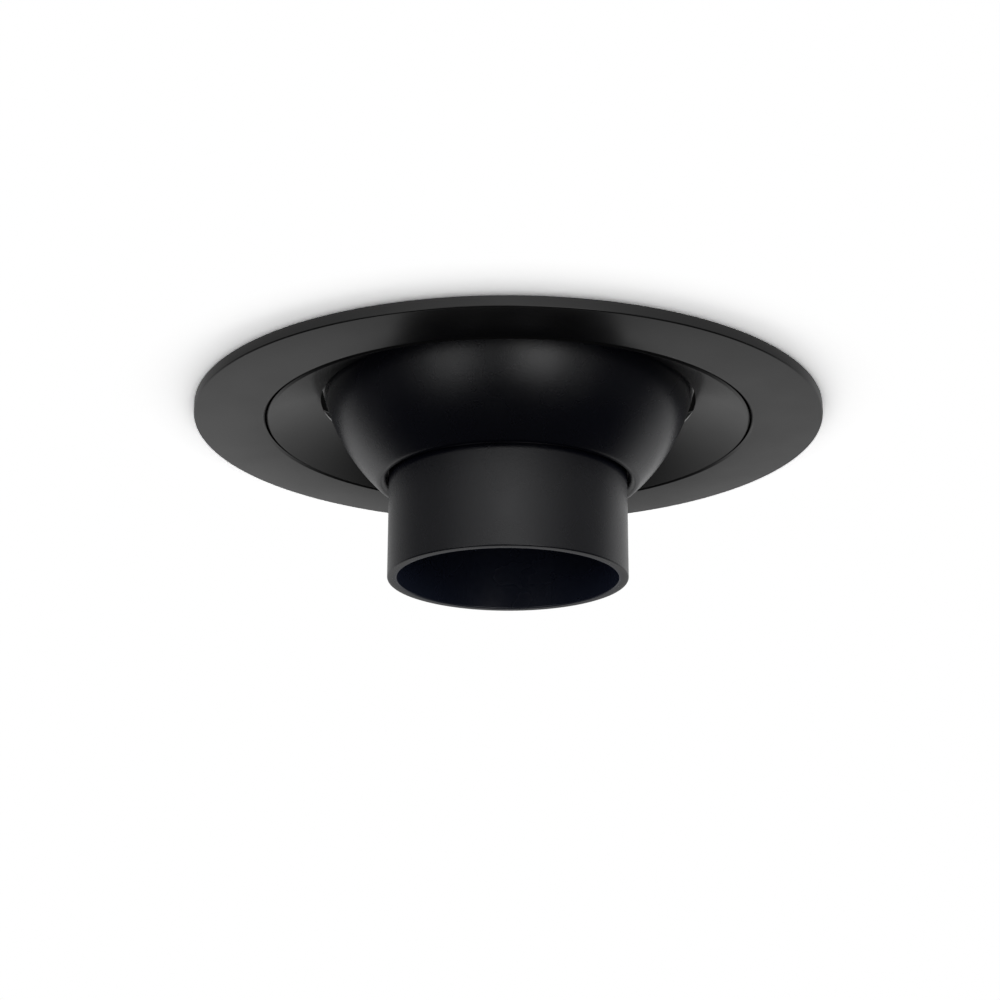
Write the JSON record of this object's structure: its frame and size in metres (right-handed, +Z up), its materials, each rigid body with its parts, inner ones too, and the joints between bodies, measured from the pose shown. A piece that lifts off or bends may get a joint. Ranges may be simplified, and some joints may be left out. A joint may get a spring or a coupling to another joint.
{
  "type": "recessed soffit downlight",
  "caption": "Round recessed downlight for a soffit: flanged trim with spring clips, swivelling dished ring, tilting ball head and a sliding tube snoot.",
  "frame": {"origin": "on the lamp's axis at the soffit's surface, where the back face of the trim flange meets it", "axes": "+Z up into the soffit along the lamp's axis; -Y towards the camera's side of the picture, the front pivot ear; +X to the right, through the right spring clip"},
  "size_m": [0.1516, 0.132, 0.0952],
  "materials": {
    "satin_black": "satin black powder coat, smooth",
    "textured_black": "fine-textured black powder coat",
    "bracket_black": "matte black coated sheet steel",
    "anodised_black": "black anodised, fine turned",
    "gasket_foam": "closed-cell foam, matte",
    "black_rubber": "matte",
    "white_acetal": "smooth, matte",
    "white_plastic": "moulded, matte",
    "spring_steel": "plain spring steel",
    "zinc_steel": "zinc-plated sheet steel",
    "rivet_aluminium": "plain",
    "screw_steel": "stainless steel, plain",
    "pad_silicone": "soft silicone, matte",
    "board_white": "white solder mask",
    "emitter_phosphor": "yellow phosphor under clear silicone",
    "mirror_aluminium": "bright spun aluminium",
    "clear_glass": "clear tempered glass",
    "seal_silicone": "translucent silicone, matte",
    "black_nylon": "moulded nylon, matte"
  },
  "bodies": {
    "fixed_trim": {"trim_flange": "satin_black", "flange_gasket": "gasket_foam", "pan_glide_ring": "white_acetal", "pan_snap_ring": "spring_steel", "pan_stop_screw": "screw_steel", "clip_bracket_left": "zinc_steel", "clip_bracket_right": "zinc_steel", "clip_rivets": "rivet_aluminium", "clip_pin_left": "zinc_steel", "clip_pin_right": "zinc_steel"},
    "clip_left": {"clip_arm_left": "zinc_steel", "clip_spring_left": "spring_steel", "clip_sleeve_left": "black_rubber"},
    "clip_right": {"clip_arm_right": "zinc_steel", "clip_spring_right": "spring_steel", "clip_sleeve_right": "black_rubber"},
    "swivel": {"swivel_ring": "satin_black", "pan_friction_ring": "black_rubber", "pan_stop_pin": "screw_steel", "pivot_ear_front": "bracket_black", "pivot_ear_back": "bracket_black", "ear_screws": "screw_steel"},
    "head": {"ball_shell": "textured_black", "pivot_screws": "screw_steel", "pivot_disc_springs": "spring_steel", "tilt_friction_washers": "white_acetal", "tilt_lock_screws": "screw_steel", "tilt_lock_washers": "zinc_steel", "guide_tube": "anodised_black", "snoot_grip_ring": "black_rubber", "guide_tube_screws": "screw_steel", "heat_sink": "anodised_black", "heat_sink_screws": "screw_steel", "thermal_pad": "pad_silicone", "led_board": "board_white", "led_emitter": "emitter_phosphor", "led_holder": "white_plastic", "optic_housing": "anodised_black", "optic_screws": "screw_steel", "reflector": "mirror_aluminium", "cover_glass": "clear_glass", "glass_seal": "seal_silicone", "glass_retainer": "anodised_black", "gland_body": "black_nylon", "gland_seal": "black_rubber", "gland_nut": "black_nylon"},
    "snoot": {"snoot_tube": "textured_black", "snoot_stop_ring": "spring_steel"}
  },
  "joints": [
    {"name": "pan", "type": "hinge", "parent": "fixed_trim", "child": "swivel", "pos_m": [0, 0, 0.003], "axis": [0, 0, 1], "range_deg": [-175, 175]},
    {"name": "tilt", "type": "hinge", "parent": "swivel", "child": "head", "pos_m": [0, 0, 0.0152], "axis": [0, 1, 0], "range_deg": [-30, 30]},
    {"name": "snoot_slide", "type": "slide", "parent": "head", "child": "snoot", "axis": [0, 0, 1], "range_m": [0, 0.015]},
    {"name": "clip_fold_right", "type": "hinge", "parent": "fixed_trim", "child": "clip_right", "pos_m": [0.0565, 0, 0.0185], "axis": [0, -1, 0], "range_deg": [0, 120], "stiffness_Nm_per_rad": 0.02, "springref_deg": -34.38, "deforming": ["clip_spring_right"]},
    {"name": "clip_fold_left", "type": "hinge", "parent": "fixed_trim", "child": "clip_left", "pos_m": [-0.0565, 0, 0.0185], "axis": [0, 1, 0], "range_deg": [0, 120], "stiffness_Nm_per_rad": 0.02, "springref_deg": -34.38, "deforming": ["clip_spring_left"]}
  ]
}
